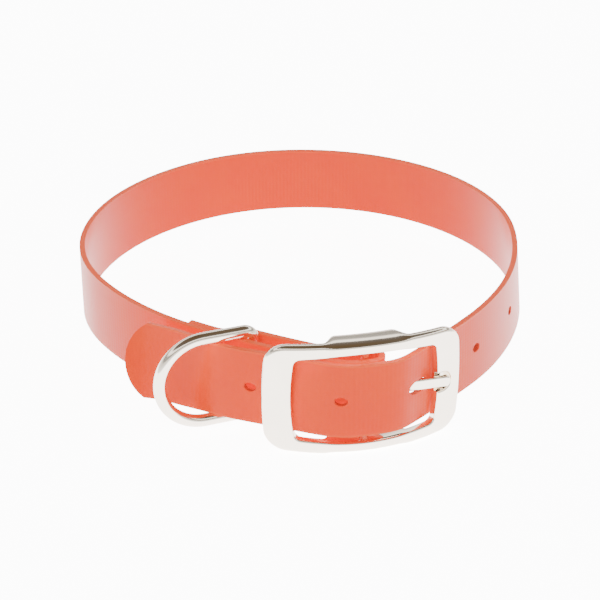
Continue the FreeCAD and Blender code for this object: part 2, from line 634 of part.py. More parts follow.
add_pad(frame, "FrameSlab", plan, size("FrameHeight"), "Sizes.FrameHeight")

lugs = new_sketch(frame, "LugPlan", "XY_Plane")
base, top = size("LugBase") / 2, size("LugTop") / 2
near, far = FRONT_Y + 2, FRONT_Y + size("LugDepth")
bound_near, bound_far = f"{BOUND_FRONT_Y} + 2", f"{BOUND_FRONT_Y} + Sizes.LugDepth"
add_polygon(lugs, [(-base, near, "-Sizes.LugBase / 2", bound_near),
                   (base, near, "Sizes.LugBase / 2", bound_near),
                   (top, far, "Sizes.LugTop / 2", bound_far),
                   (-top, far, "-Sizes.LugTop / 2", bound_far)])
add_pad(frame, "Lugs", lugs, size("FrameHeight"), "Sizes.FrameHeight")

trim = new_sketch(frame, "TrimOutline", "XZ_Plane")
add_rectangle(trim, -60, -40, 60, 40)
add_bowed_outline(trim, "FrameWidth", "FrameHeight", "FrameCorner")
cut(frame, "Trim", trim, 300)
window = new_sketch(frame, "WindowOutline", "XZ_Plane")
add_bowed_outline(window, "WindowWidth", "WindowHeight", "WindowCorner")
cut(frame, "Window", window, 300)

notch = new_sketch(frame, "NotchOutline", "XZ_Plane",
                   Placement(Vector(0, 0, -(FRONT_Y + size("NotchFloor"))), Rotation()))
notch.setExpression("AttachmentOffset.Base.z", "Sizes.BuckleReach - Sizes.NotchFloor")
notch_x, notch_r = size("WindowWidth") / 2, size("NotchHeight") / 2
reach = notch_x + size("NotchLength") - notch_r
round_end = notch.addGeometry(Part.ArcOfCircle(
    Part.Circle(Vector(reach, 0, 0), Vector(0, 0, 1), notch_r), -math.pi / 2, math.pi / 2))
upper = notch.addGeometry(Part.LineSegment(Vector(reach, notch_r, 0),
                                           Vector(notch_x - 3, notch_r, 0)))
back = notch.addGeometry(Part.LineSegment(Vector(notch_x - 3, notch_r, 0),
                                          Vector(notch_x - 3, -notch_r, 0)))
lower = notch.addGeometry(Part.LineSegment(Vector(notch_x - 3, -notch_r, 0),
                                           Vector(reach, -notch_r, 0)))
for edge, last, after, start in ((round_end, 2, upper, 1), (lower, 2, round_end, 1)):
    notch.addConstraint(Sketcher.Constraint("Tangent", edge, last, after, start))
for edge, last, after, start in ((upper, 2, back, 1), (back, 2, lower, 1)):
    notch.addConstraint(Sketcher.Constraint("Coincident", edge, last, after, start))
notch.addConstraint(Sketcher.Constraint("Horizontal", upper))
notch.addConstraint(Sketcher.Constraint("Vertical", back))
notch.addConstraint(Sketcher.Constraint("PointOnObject", round_end, 3, -1))
bind(notch, "Radius", round_end, value=notch_r, expression="Sizes.NotchHeight / 2")
bind(notch, "DistanceX", -1, 1, round_end, 3, value=reach,
     expression="Sizes.WindowWidth / 2 + Sizes.NotchLength - Sizes.NotchHeight / 2")
bind(notch, "DistanceX", -1, 1, back, 1, value=notch_x - 3,
     expression="Sizes.WindowWidth / 2 - 3")
doc.recompute()
before = frame.Shape.Volume
notch_cut = frame.newObject("PartDesign::Pocket", "Notch")
notch_cut.Profile = notch
notch_cut.Length = 30
notch_cut.Reversed = True
doc.recompute()
if not before - 80 < frame.Shape.Volume < before - 20:
    raise RuntimeError(f"the notch took {before - frame.Shape.Volume:.1f} mm3")

bar_hole = new_sketch(frame, "BarHoleOutline", "XY_Plane")
add_circle(bar_hole, 0, BAR_Y, size("BarRadius"), "0 mm", BOUND_BAR_Y, "Sizes.BarRadius")
cut(frame, "BarHole", bar_hole, size("BarLength"), "Sizes.BarLength")


def round_edges(body, name, keep, radius_alias):
    """Fillet every edge of the body that passes the test."""
    doc.recompute()
    chosen = [f"Edge{number}" for number, edge in enumerate(body.Shape.Edges, start=1)
              if keep(edge)]
    latest = body.Tip
    fillet = body.newObject("PartDesign::Fillet", name)
    fillet.Base = (latest, chosen)
    fillet.Radius = size(radius_alias)
    fillet.setExpression("Radius", f"Sizes.{radius_alias}")
    doc.recompute()
    return fillet


def on_front(edge):
    """The edges where the frame's curved front face ends."""
    middle = edge.valueAt((edge.FirstParameter + edge.LastParameter) / 2)
    distance = math.hypot(middle.x, middle.y - FRAME_CENTRE_Y)
    in_notch = middle.x > notch_x - 0.2 and abs(middle.z - LIFTED) < notch_r + 0.5
    return abs(distance - size("FrameRadius")) < 0.02 and not in_notch


LIFTED = size("FrameHeight") / 2
round_edges(frame, "FrameRounding", on_front, "FrameRound")

# ---------------------------------------------------------------- centre bar

bar = new_body("centre_bar")
bar_section = new_sketch(bar, "BarSection", "XY_Plane")
add_circle(bar_section, 0, BAR_Y, size("BarRadius"), "0 mm", BOUND_BAR_Y, "Sizes.BarRadius")
add_pad(bar, "Bar", bar_section, size("BarLength"), "Sizes.BarLength")

# ---------------------------------------------------------------- tongue

tongue = new_body("tongue")
eye = new_sketch(tongue, "EyeOutline", "XY_Plane")
eye_radius = size("BarRadius") + size("RunningFit") + size("EyeWall")
bound_eye = "Sizes.BarRadius + Sizes.RunningFit + Sizes.EyeWall"
add_circle(eye, 0, BAR_Y, eye_radius, "0 mm", BOUND_BAR_Y, bound_eye)
add_pad(tongue, "Eye", eye, size("TongueWidth"), "Sizes.TongueWidth")
shank = new_sketch(tongue, "ShankOutline", "XY_Plane")
root, tip_x = 1.0, size("TongueLength")
thick, tip_thick, tip_y = size("TongueThick") / 2, size("TipThick") / 2, BAR_Y + size("TipLift")
bound_tip_y = f"{BOUND_BAR_Y} + Sizes.TipLift"
add_polygon(shank, [
    (root, BAR_Y - thick, None, f"{BOUND_BAR_Y} - Sizes.TongueThick / 2"),
    (tip_x, tip_y - tip_thick, "Sizes.TongueLength", f"{bound_tip_y} - Sizes.TipThick / 2"),
    (tip_x, tip_y + tip_thick, "Sizes.TongueLength", f"{bound_tip_y} + Sizes.TipThick / 2"),
    (root, BAR_Y + thick, None, f"{BOUND_BAR_Y} + Sizes.TongueThick / 2")])
add_pad(tongue, "Shank", shank, size("TongueWidth"), "Sizes.TongueWidth")
bore = new_sketch(tongue, "BoreOutline", "XY_Plane")
add_circle(bore, 0, BAR_Y, size("BarRadius") + size("RunningFit"), "0 mm", BOUND_BAR_Y,
           "Sizes.BarRadius + Sizes.RunningFit")
cut(tongue, "Bore", bore, 20)


def at_tip_corner(edge):
    low, high = edge.valueAt(edge.FirstParameter), edge.valueAt(edge.LastParameter)
    return (min(low.x, high.x) > tip_x - 0.01
            and abs(low.z - high.z) < 0.01 and abs(low.y - high.y) > 0.5)


def along_shank(edge):
    low, high = edge.valueAt(edge.FirstParameter), edge.valueAt(edge.LastParameter)
    return abs(low.x - high.x) > 8


round_edges(tongue, "TipRounding", at_tip_corner, "TipCorner")
round_edges(tongue, "ShankRounding", along_shank, "TongueRound")

# ---------------------------------------------------------------- D-ring

ring_along = (2 * size("FoldRun") + math.pi * POCKET / 2
              + (size("LeftBend") - POCKET) * math.radians(size("LeftTurn"))
              + (size("LeftEase") - POCKET) * math.radians(size("RingBarTurn")))
ring_x, ring_y, _ = strap_point(FOLD, ring_along, POCKET / 2)
ring = new_body("d_ring", ring_x, ring_y, size("RingRest"))
half_side = size("RingInside") / 2 + size("RingWire") / 2
corner_r, ring_long = size("RingCorner"), size("RingLength")
bound_side = "(Sizes.RingInside / 2 + Sizes.RingWire / 2)"
path = new_sketch(ring, "RingPath", "XZ_Plane")
quarter = math.pi / 2
bar_end, bow_x = half_side - corner_r, -(ring_long - half_side)
upper_bar = path.addGeometry(Part.LineSegment(Vector(0, 0, 0), Vector(0, bar_end, 0)))
upper_corner = path.addGeometry(Part.ArcOfCircle(Part.Circle(
    Vector(-corner_r, bar_end, 0), Vector(0, 0, 1), corner_r), 0, quarter))
upper_side = path.addGeometry(Part.LineSegment(Vector(-corner_r, half_side, 0),
                                               Vector(bow_x, half_side, 0)))
bow = path.addGeometry(Part.ArcOfCircle(Part.Circle(
    Vector(bow_x, 0, 0), Vector(0, 0, 1), half_side), quarter, 3 * quarter))
lower_side = path.addGeometry(Part.LineSegment(Vector(bow_x, -half_side, 0),
                                               Vector(-corner_r, -half_side, 0)))
lower_corner = path.addGeometry(Part.ArcOfCircle(Part.Circle(
    Vector(-corner_r, -bar_end, 0), Vector(0, 0, 1), corner_r), -quarter, 0))
lower_bar = path.addGeometry(Part.LineSegment(Vector(0, -bar_end, 0), Vector(0, 0, 0)))
for edge, last, after, start in ((upper_bar, 2, upper_corner, 1), (upper_corner, 2, upper_side, 1),
                                 (upper_side, 2, bow, 1), (bow, 2, lower_side, 1),
                                 (lower_side, 2, lower_corner, 1), (lower_corner, 2, lower_bar, 1)):
    path.addConstraint(Sketcher.Constraint("Tangent", edge, last, after, start))
path.addConstraint(Sketcher.Constraint("Coincident", upper_bar, 1, -1, 1))
path.addConstraint(Sketcher.Constraint("Coincident", lower_bar, 2, -1, 1))
path.addConstraint(Sketcher.Constraint("Vertical", upper_bar))
path.addConstraint(Sketcher.Constraint("Horizontal", upper_side))
path.addConstraint(Sketcher.Constraint("Horizontal", lower_side))
bind(path, "Radius", upper_corner, value=corner_r, expression="Sizes.RingCorner")
bind(path, "Radius", lower_corner, value=corner_r, expression="Sizes.RingCorner")
bind(path, "DistanceY", -1, 1, upper_side, 1, value=half_side, expression=bound_side)
bind(path, "Radius", bow, value=half_side, expression=bound_side)
bind(path, "DistanceX", bow, 3, -1, 1, value=-bow_x,
     expression=f"Sizes.RingLength - {bound_side}")
wire = new_sketch(ring, "WireSection", "XY_Plane")
add_circle(wire, 0, 0, size("RingWire") / 2, "0 mm", "0 mm", "Sizes.RingWire / 2")
add_pipe(ring, "Wire", "AdditivePipe", wire, path)

# ---------------------------------------------------------------- rivets

rivet_x, rivet_y, rivet_heading = strap_point(FOLD, RIVET_AT)
dome_r = (size("HeadRadius") ** 2 + size("HeadThick") ** 2) / (2 * size("HeadThick"))
bound_dome_r = "((Sizes.HeadRadius ^ 2 + Sizes.HeadThick ^ 2) / (2 * Sizes.HeadThick))"
dome_low = math.degrees(math.asin((dome_r - size("HeadThick")) / dome_r))
grip = 2 * THICK + size("LayerGap")
bound_grip = "(2 * Sizes.StrapThick + Sizes.LayerGap)"


def rivet_place(sign):
    """Frame of one rivet: z outward along its own axis, from the innermost face of the fold."""
    outward = Vector(-math.sin(rivet_heading), math.cos(rivet_heading), 0)
    start = Vector(rivet_x, rivet_y, size("FrameHeight") / 2) - outward * (THICK / 2)
    start.z += sign * size("RivetSpread")
    return Placement(start, Rotation(Vector(0, 0, 1), outward))


def add_dome(name, place, inside_at, outward_side):
    """Low dome whose flat side lies at a height above the rivet's frame."""
    dome = doc.addObject("Part::Sphere", name)
    dome.Radius = dome_r
    dome.setExpression("Radius", bound_dome_r)
    dome.Angle1 = dome_low
    dome.setExpression("Angle1", f"asin(({bound_dome_r} - Sizes.HeadThick) / {bound_dome_r})")
    dome.Angle2 = 90
    turn = Rotation() if outward_side else Rotation(Vector(1, 0, 0), 180)
    shift = dome_r - size("HeadThick")
    centre_at = inside_at - shift if outward_side else inside_at + shift
    centre_at += size("RivetLift") if outward_side else -size("RivetLift")
    dome.Placement = place.multiply(Placement(Vector(0, 0, centre_at), turn))
    return dome


def add_cylinder(name, place, radius, bound_radius, low, height, bound_height):
    cylinder = doc.addObject("Part::Cylinder", name)
    cylinder.Radius = radius
    cylinder.setExpression("Radius", bound_radius)
    cylinder.Height = height
    cylinder.setExpression("Height", bound_height)
    cylinder.Placement = place.multiply(Placement(Vector(0, 0, low), Rotation()))
    return cylinder


posts, caps = [], []
for number, sign in enumerate((1, -1), start=1):
    place = rivet_place(sign)
    head = add_dome(f"PostHead{number}", place, 0.0, False)
    shaft = add_cylinder(f"PostShaft{number}", place, size("RivetRadius"), "Sizes.RivetRadius",
                         -0.3, grip + 0.8, f"{bound_grip} + 0.8")
    post = doc.addObject("Part::Fuse", f"Post{number}")
    post.Base, post.Tool = head, shaft
    posts.append(post)
    dome = add_dome(f"CapDome{number}", place, grip, True)
    socket = add_cylinder(f"CapSocket{number}", place, size("RivetRadius"), "Sizes.RivetRadius",
                          grip - 1, 1.5, "1.5 mm")
    cap = doc.addObject("Part::Cut", f"Cap{number}")
    cap.Base, cap.Tool = dome, socket
    caps.append(cap)
post_pair = doc.addObject("Part::Compound", "rivet_posts")
post_pair.Links = posts
cap_pair = doc.addObject("Part::Compound", "rivet_caps")
cap_pair.Links = caps

# ---------------------------------------------------------------- checks and export

doc.recompute()
for item in doc.Objects:
    if "Invalid" in item.State or "Error" in item.State:
        raise RuntimeError(f"{item.Label} failed: {item.State}")

NODES = {coating: 1, webbing: 1, frame: 1, bar: 1, tongue: 1, ring: 1, post_pair: 2, cap_pair: 2}
for item, solids in NODES.items():
    shape = item.Shape
    if shape.isNull() or not shape.isValid() or len(shape.Solids) != solids:
        raise RuntimeError(f"{item.Label} is not {solids} sound solid(s)")

# a sweep that went wrong shows in its volume
sweep = size("RingWire") ** 2 * math.pi / 4 * (
    2 * bar_end + math.pi * corner_r + 2 * (-bow_x - corner_r) + math.pi * half_side)
if abs(ring.Shape.Volume / sweep - 1) > 0.01:
    raise RuntimeError(f"the D-ring holds {ring.Shape.Volume:.0f} mm3, not {sweep:.0f}")
strap_length = LOOP.length() + FREE.length() + FOLD.length()
whole = strap_length * size("StrapWidth") * THICK
held = coating.Shape.Volume + webbing.Shape.Volume
if not 0.965 < held / whole < 1.0:
    raise RuntimeError(f"the strap holds {held:.0f} mm3 of {whole:.0f}")

for item in NODES:
    item.Shape.exportStep(f"parts/{item.Label}.step")
    print(item.Label, round(item.Shape.Volume, 1), item.Shape.BoundBox)
print("strap length", round(strap_length, 1))
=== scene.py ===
"""Coated webbing animal collar with a polished centre-bar buckle and a D-ring."""
import json
import math

import bmesh
import bpy
from mathutils import Matrix, Vector


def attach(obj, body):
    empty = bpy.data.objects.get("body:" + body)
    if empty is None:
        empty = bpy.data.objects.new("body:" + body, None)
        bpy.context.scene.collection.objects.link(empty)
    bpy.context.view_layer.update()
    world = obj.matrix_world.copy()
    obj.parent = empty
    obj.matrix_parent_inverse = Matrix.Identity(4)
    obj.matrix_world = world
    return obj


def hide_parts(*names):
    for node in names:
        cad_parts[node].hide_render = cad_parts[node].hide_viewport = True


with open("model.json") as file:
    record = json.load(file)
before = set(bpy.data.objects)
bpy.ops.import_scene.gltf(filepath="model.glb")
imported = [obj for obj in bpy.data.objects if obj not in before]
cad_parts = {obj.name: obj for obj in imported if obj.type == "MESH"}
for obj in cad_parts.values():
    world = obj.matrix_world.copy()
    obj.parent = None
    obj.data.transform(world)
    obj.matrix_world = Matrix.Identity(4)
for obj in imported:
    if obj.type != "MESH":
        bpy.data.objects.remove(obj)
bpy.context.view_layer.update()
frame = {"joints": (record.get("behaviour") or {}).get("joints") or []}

bl_info = {
    "name": "Animal collar",
    "version": (1, 0, 0),
    "blender": (4, 5, 0),
    "location": "View3D > Sidebar > Collar",
    "description": "Builds a coated webbing collar round its packed frame",
    "category": "Object",
}

MM = 0.001
UP = Vector((0, 0, 1))

# ---------------------------------------------------------------- lay of the strap, in mm

# one run of the strap is (length, None) if straight, or (radius, turn in degrees)
FREE_END = [(2.0, None), (22.0, 33.0), (28.6, None), (60.0, 11.0), (14.0, None), (45.0, -24.0)]
LOOP = [(5.0, None), (16.0, 35.0), (440.0, 4.5), (79.0 * 1.45, 40.0), (79.0 * 1.02, 80.0),
        (None, 42.0), (79.0 * 1.11, 53.0), (None, 33.5), (79.0 * 1.4, 27.0), (315.0, 9.0),
        (20.0, 36.0)]
POCKET = 7.2
PINCH = math.degrees(math.acos(1 - (POCKET - 2.4) / 12.0))
FOLD = [(2.5, None), (POCKET / 2, 180.0), (2.5, None), (20.0 - POCKET, -36.0),
        (315.0 - POCKET, -6.0), (6.0, PINCH), (6.0, -PINCH - 2.0), (312.6, -2.0)]
OUTER_Y = -98.2
FOLD_Y = -95.8
BAR_Y = -92.8

# lean of the strap out of upright, as (distance from over the bar in mm, degrees);
# a positive lean carries the top edge away from the neck
LEANS = [(-88.0, -20.0), (-72.0, -10.0), (-52.0, -3.0), (-20.0, -4.0), (8.0, 0.0), (70.0, -3.0),
         (120.0, -5.0), (200.0, -3.0), (300.0, 0.0), (400.0, 0.0), (480.0, 0.0), (640.0, 0.0)]

HOLE_PITCH = 31.0
USED_HOLE = 21.9
TIP_RADIUS, TIP_FADE, TIP_ZONE = 15.0, 24.0, 7.5

BAR_RADIUS, BAR_LENGTH = 1.6, 37.0
TONGUE_WIDE, TONGUE_ROOT, TONGUE_TIP = 3.8, 2.4, 29.4
RING_HALF, RING_CORNER, RING_LENGTH, RING_REST = 15.35, 3.2, 32.6, 8.0
HEAD_RADIUS, HEAD_THICK, RIVET_SPREAD, RIVET_BACK = 4.0, 1.1, 6.0, 5.5
COLUMN = HOLE_PITCH / 24


def end_of(x, y, heading, size, turn):
    """Where a run that starts at x, y with a heading in radians ends."""
    if turn is None:
        return x + size * math.cos(heading), y + size * math.sin(heading), heading
    side = 1.0 if turn > 0 else -1.0
    after = heading + math.radians(turn)
    return (x + side * size * (math.sin(after) - math.sin(heading)),
            y - side * size * (math.cos(after) - math.cos(heading)), after)


def closed_loop():
    """The loop with its two open radii chosen so that it ends in front of the bar."""
    x, y, heading = 0.0, OUTER_Y, 0.0
    open_reach = []
    for size, turn in LOOP:
        if size is None:
            dx, dy, heading = end_of(0.0, 0.0, heading, 1.0, turn)
            open_reach.append((dx, dy))
        else:
            x, y, heading = end_of(x, y, heading, size, turn)
    (ax, ay), (bx, by) = open_reach
    need_x, need_y = -x, FOLD_Y - y
    det = ax * by - ay * bx
    radii = [(need_x * by - need_y * bx) / det, (ax * need_y - ay * need_x) / det]
    return [(radii.pop(0) if size is None else size, turn) for size, turn in LOOP]


def run_length(size, turn):
    return size if turn is None else size * abs(math.radians(turn))


def sampled(runs, x, y, heading):
    """Points every half millimetre along a chain of runs."""
    points = [(x, y)]
    for size, turn in runs:
        steps = max(1, round(run_length(size, turn) / 0.5))
        for step in range(1, steps + 1):
            part = step / steps
            if turn is None:
                here = end_of(x, y, heading, size * part, None)
            else:
                here = end_of(x, y, heading, size, turn * part)
            points.append(here[:2])
        x, y, heading = end_of(x, y, heading, size, turn)
    return points


class StrapLine:
    """The strap's middle line, measured in mm from over the centre bar."""

    def __init__(self):
        loop = closed_loop()
        forward = sampled(loop + FOLD, 0.0, OUTER_Y, 0.0)
        backward = sampled(FREE_END, 0.0, OUTER_Y, math.pi)
        backward = [(x, 2 * OUTER_Y - y) for x, y in backward]
        points = [Vector(p) for p in reversed(backward[1:])] + [Vector(p) for p in forward]
        for _ in range(12):
            eased = [(a + 2 * b + c) / 4 for a, b, c in zip(points, points[1:], points[2:])]
            points = [points[0]] + eased + [points[-1]]
        self.points = points
        self.start = -sum(run_length(*run) for run in FREE_END)
        self.loop = sum(run_length(*run) for run in loop)
        self.end = self.loop + sum(run_length(*run) for run in FOLD)

    def at(self, distance):
        """Point on the middle line and the direction along it."""
        last = len(self.points) - 1
        place = (distance - self.start) / (self.end - self.start) * last
        first = min(max(int(place), 0), last - 1)
        low, high = self.points[first], self.points[first + 1]
        before = self.points[max(first - 1, 0)]
        after = self.points[min(first + 2, last)]
        part = place - first
        along = (high - before).lerp(after - low, min(max(part, 0.0), 1.0)).normalized()
        return low.lerp(high, part), along

    def lay(self, distance, across, outward):
        """Place in space of a point of the flat strap, in metres."""
        point, along = self.at(distance)
        lean = math.radians(eased_between(LEANS, distance))
        out = Vector((along.y, -along.x, 0.0))
        up = UP * math.cos(lean) + out * math.sin(lean)
        out = out * math.cos(lean) - UP * math.sin(lean)
        place = Vector((point.x, point.y, FRAME_TALL / 2)) + up * across + out * outward
        return place * MM


def eased_between(table, value):
    """Value read from a table of (place, value) with an S-shaped change between rows."""
    if value <= table[0][0]:
        return table[0][1]
    for (low, start), (high, end) in zip(table, table[1:]):
        if value <= high:
            part = (value - low) / (high - low)
            return start + (end - start) * part * part * (3 - 2 * part)
    return table[-1][1]


# ---------------------------------------------------------------- mesh helpers

def finished(bm, name, material, body, node_names, smooth_angle=40.0):
    """Turn a bmesh into a piece that rides a body and stands for its CAD nodes."""
    bmesh.ops.recalc_face_normals(bm, faces=bm.faces)
    for face in bm.faces:
        face.smooth = True
    for edge in bm.edges:
        if len(edge.link_faces) == 2:
            edge.smooth = edge.calc_face_angle(0.0) < math.radians(smooth_angle)
    mesh = bpy.data.meshes.new(name)
    bm.to_mesh(mesh)
    bm.free()
    piece = bpy.data.objects.new(name, mesh)
    bpy.context.scene.collection.objects.link(piece)
    for one in material if isinstance(material, (list, tuple)) else [material]:
        mesh.materials.append(one)
    even = piece.modifiers.new("Even normals", "WEIGHTED_NORMAL")
    even.keep_sharp = True
    even.weight = 80
    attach(piece, body)
    if node_names:
        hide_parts(*node_names)
    return piece


def cut_oval(bm, columns, rows, column, half_columns, half_rows, length, width,
             squareness=1.0):
    """Take a block of cells out of the flat grid and draw its rim in to an oval hole."""
    low_x, high_x = column - half_columns, column + half_columns
    reach = half_rows * rows
    doomed = [f for f in bm.faces
              if low_x * columns < f.calc_center_median().x < high_x * columns
              and abs(f.calc_center_median().y) < reach]
    rim = {e for f in doomed for e in f.edges
           if sum(g in doomed for g in e.link_faces) == 1}
    bmesh.ops.delete(bm, geom=doomed, context="FACES_KEEP_BOUNDARY")
    grown = bmesh.ops.extrude_edge_only(bm, edges=list(rim))["geom"]
    for vert in (g for g in grown if isinstance(g, bmesh.types.BMVert)):
        x = (vert.co.x / columns - column) / half_columns
        y = vert.co.y / reach
        if abs(x) >= abs(y):
            angle = math.pi / 4 * y / x + (math.pi if x < 0 else 0.0)
        else:
            angle = math.pi / 2 - math.pi / 4 * x / y + (math.pi if y < 0 else 0.0)
        flat = abs(math.sin(angle)) ** squareness
        vert.co.x = column * columns + math.cos(angle) * length / 2
        vert.co.y = math.copysign(flat, y) * width / 2


def outline(bm, width, height, corner, side_cuts, rail_cuts):
    """Rounded rectangle of edges in the XZ plane."""
    made = bmesh.ops.create_grid(bm, x_segments=1, y_segments=1, size=0.5,
                                 matrix=Matrix.Rotation(math.pi / 2, 4, "X"))["verts"]
    for vert in made:
        vert.co.x *= width
        vert.co.z *= height
    faces = list({f for v in made for f in v.link_faces})
    bmesh.ops.delete(bm, geom=faces, context="FACES_ONLY")
    rounded = bmesh.ops.bevel(bm, geom=made, offset=corner, segments=8, profile=0.5,
                              affect="VERTICES", material=-1, clamp_overlap=False)
    verts = set(rounded["verts"])
    edges = {e for v in verts for e in v.link_edges}
    for long_x, cuts in ((True, rail_cuts), (False, side_cuts)):
        chosen = [e for e in edges if e.is_valid and e.calc_length() > corner * 1.2
                  and (abs(e.verts[0].co.z - e.verts[1].co.z) < 1e-9) == long_x]
        bmesh.ops.subdivide_edges(bm, edges=chosen, cuts=cuts)


# ---------------------------------------------------------------- materials

class Value:
    """A shader socket that Python operators work on."""

    def __init__(self, tree, socket):
        self.tree = tree
        self.socket = socket

    def joined(self, operation, *others):
        return self.tree.node("ShaderNodeMath", {"operation": operation},
                              {n: item for n, item in enumerate((self, *others))})

    def __add__(self, other):
        return self.joined("ADD", other)

    def __mul__(self, other):
        return self.joined("MULTIPLY", other)

    def __sub__(self, other):
        return self.joined("SUBTRACT", other)

    def __rsub__(self, other):
        return self.tree.node("ShaderNodeMath", {"operation": "SUBTRACT"}, {0: other, 1: self})

    def __truediv__(self, other):
        return self.joined("DIVIDE", other)

    __radd__ = __add__
    __rmul__ = __mul__

    def sine(self):
        return self.joined("SINE")

    def size(self):
        return self.joined("ABSOLUTE")

    def above(self, limit, spread):
        """0 below the limit, 1 above it, with a soft step between."""
        return self.tree.node("ShaderNodeMapRange", {"interpolation_type": "SMOOTHSTEP"},
                              {"Value": self, "From Min": limit - spread,
                               "From Max": limit + spread})


class Tree:
    """Node tree of one material."""

    def __init__(self, name):
        self.material = bpy.data.materials.new(name)
        self.material.use_nodes = True
        self.tree = self.material.node_tree
        self.shader = self.tree.nodes["Principled BSDF"]

    def node(self, kind, settings=None, inputs=None, output=0):
        """Any node: its settings are set first, then the values or links of its sockets."""
        made = self.tree.nodes.new(kind)
        for name, value in (settings or {}).items():
            if name == "stops":
                ramp = made.color_ramp
                while len(ramp.elements) < len(value):
                    ramp.elements.new(0.5)
                for element, (place, colour) in zip(ramp.elements, value):
                    element.position = place
                    element.color = (*colour, 1.0)
            else:
                setattr(made, name, value)
        for name, value in (inputs or {}).items():
            if isinstance(value, Value):
                self.tree.links.new(value.socket, made.inputs[name])
            else:
                made.inputs[name].default_value = value
        return Value(self, made.outputs[output])

    def feed(self, socket, value):
        self.tree.links.new(value.socket, self.shader.inputs[socket])

    def fixed(self, **values):
        for name, value in values.items():
            self.shader.inputs[name.replace("_", " ")].default_value = value

    def mix(self, factor, low, high):
        """Colour between two colours, each a tuple or a Value."""
        made = self.tree.nodes.new("ShaderNodeMix")
        made.data_type = "RGBA"
        for name, value in (("Factor", factor), ("A", low), ("B", high)):
            sockets = [s for s in made.inputs if s.name == name
                       and s.type == ("VALUE" if name == "Factor" else "RGBA")]
            if isinstance(value, Value):
                self.tree.links.new(value.socket, sockets[0])
            elif name == "Factor":
                sockets[0].default_value = value
            else:
                sockets[0].default_value = (*value, 1.0)
        return Value(self, next(s for s in made.outputs if s.type == "RGBA"))

    def noise(self, where, scale, detail=2.0):
        return self.node("ShaderNodeTexNoise", {},
                         {"Vector": where, "Scale": scale, "Detail": detail})


def coat_material(settings):
    """Glossy soft plastic over webbing: faint crosswise ribs, a painted paler sheen along the
    edges and a faint painted orange glow.
    """
    tree = Tree("coat")
    strip = tree.node("ShaderNodeUVMap", {"uv_map": "strip"})
    parts = tree.tree.nodes.new("ShaderNodeSeparateXYZ")
    tree.tree.links.new(strip.socket, parts.inputs[0])
    along, across = Value(tree, parts.outputs[0]), Value(tree, parts.outputs[1])
    blotch = tree.noise(strip, 0.06, 3.0)
    fine = tree.noise(strip, 1.6, 2.0)
    # painted sheen: the rounded edges get a paler orange, standing in for the light they catch
    edge = across.size().above(12.4, 0.35)
    ribs = (along * (2 * math.pi / settings.rib_pitch)).sine()
    picks = (across * (2 * math.pi / 1.1)).sine() * 0.35
    base = tree.mix(blotch.above(0.5, 0.22), tuple(settings.coat_deep), tuple(settings.coat))
    base = tree.mix(edge * 0.55, base, tuple(settings.coat_edge_sheen))
    tree.feed("Base Color", base)
    tree.feed("Roughness", fine * 0.10 + (blotch * 0.10 + 0.22))
    height = ribs * 0.5 + picks + fine * 0.8
    bump = tree.node("ShaderNodeBump", {}, {"Strength": 0.10, "Distance": 0.0002,
                                            "Height": height})
    tree.feed("Normal", bump)
    # painted glow: the coat emits a little orange light of its own, so that it shows a more
    # saturated orange than its lit colour gives
    tree.fixed(Coat_Weight=0.06, Coat_Roughness=0.1, IOR=1.5, Specular_IOR_Level=0.14,
               Emission_Color=(1.0, 0.045, 0.004, 1.0), Emission_Strength=0.28)
    return tree.material


def webbing_material(settings):
    """Bare dyed webbing, seen only on cut ends and in the walls of holes."""
    tree = Tree("webbing")
    where = tree.node("ShaderNodeTexCoord", {}, {}, output=3)
    grain = tree.noise(where, 2400.0, 2.0)
    tree.feed("Base Color", tree.mix(grain.above(0.5, 0.2), (0.62, 0.06, 0.02),
                                     tuple(settings.webbing)))
    tree.feed("Roughness", grain * 0.2 + 0.6)
    tree.feed("Normal", tree.node("ShaderNodeBump", {}, {"Strength": 0.4, "Distance": 0.0002,
                                                         "Height": grain}))
    return tree.material


def metal_material(name, colour, roughness):
    """Polished plating with faint haze, polishing waves and fine marks."""
    tree = Tree(name)
    where = tree.node("ShaderNodeTexCoord", {}, {}, output=3)
    haze = tree.noise(where, 90.0, 3.0)
    marks = tree.noise(where, 2200.0, 1.0)
    waves = tree.noise(where, 160.0, 1.0)
    tree.feed("Base Color", tree.mix(haze.above(0.5, 0.25), tuple(c * 0.95 for c in colour),
                                     tuple(colour)))
    tree.feed("Roughness", haze * 0.05 + (marks * 0.04 + roughness))
    tree.feed("Normal", tree.node("ShaderNodeBump", {}, {"Strength": 0.06, "Distance": 0.0004,
                                                         "Height": waves + marks * 0.03}))
    tree.fixed(Metallic=1.0)
    return tree.material


# ---------------------------------------------------------------- settings

class CollarFinish(bpy.types.PropertyGroup):
    coat: bpy.props.FloatVectorProperty(
        name="Coat", description="Colour of the strap's coat", subtype="COLOR", size=3,
        default=(0.97, 0.075, 0.006), min=0.0, max=1.0)
    coat_deep: bpy.props.FloatVectorProperty(
        name="Coat, deeper", description="Colour where the coat is thicker", subtype="COLOR",
        size=3, default=(0.95, 0.058, 0.004), min=0.0, max=1.0)
    # painted sheen: the paler colour of the rounded edges stands in for the light they catch
    coat_edge_sheen: bpy.props.FloatVectorProperty(
        name="Coat at the edges", description="Colour of the squeezed edges", subtype="COLOR",
        size=3, default=(0.98, 0.15, 0.03), min=0.0, max=1.0)
    webbing: bpy.props.FloatVectorProperty(
        name="Webbing", description="Colour of the bare webbing", subtype="COLOR", size=3,
        default=(0.85, 0.10, 0.03), min=0.0, max=1.0)
    metal: bpy.props.FloatVectorProperty(
        name="Plating", description="Colour of the buckle's and the ring's plating",
        subtype="COLOR", size=3, default=(0.92, 0.83, 0.71), min=0.0, max=1.0)
    rib_pitch: bpy.props.FloatProperty(
        name="Rib pitch", description="Distance between the crosswise ribs, in millimetres",
        default=1.5, min=0.5, max=5.0)


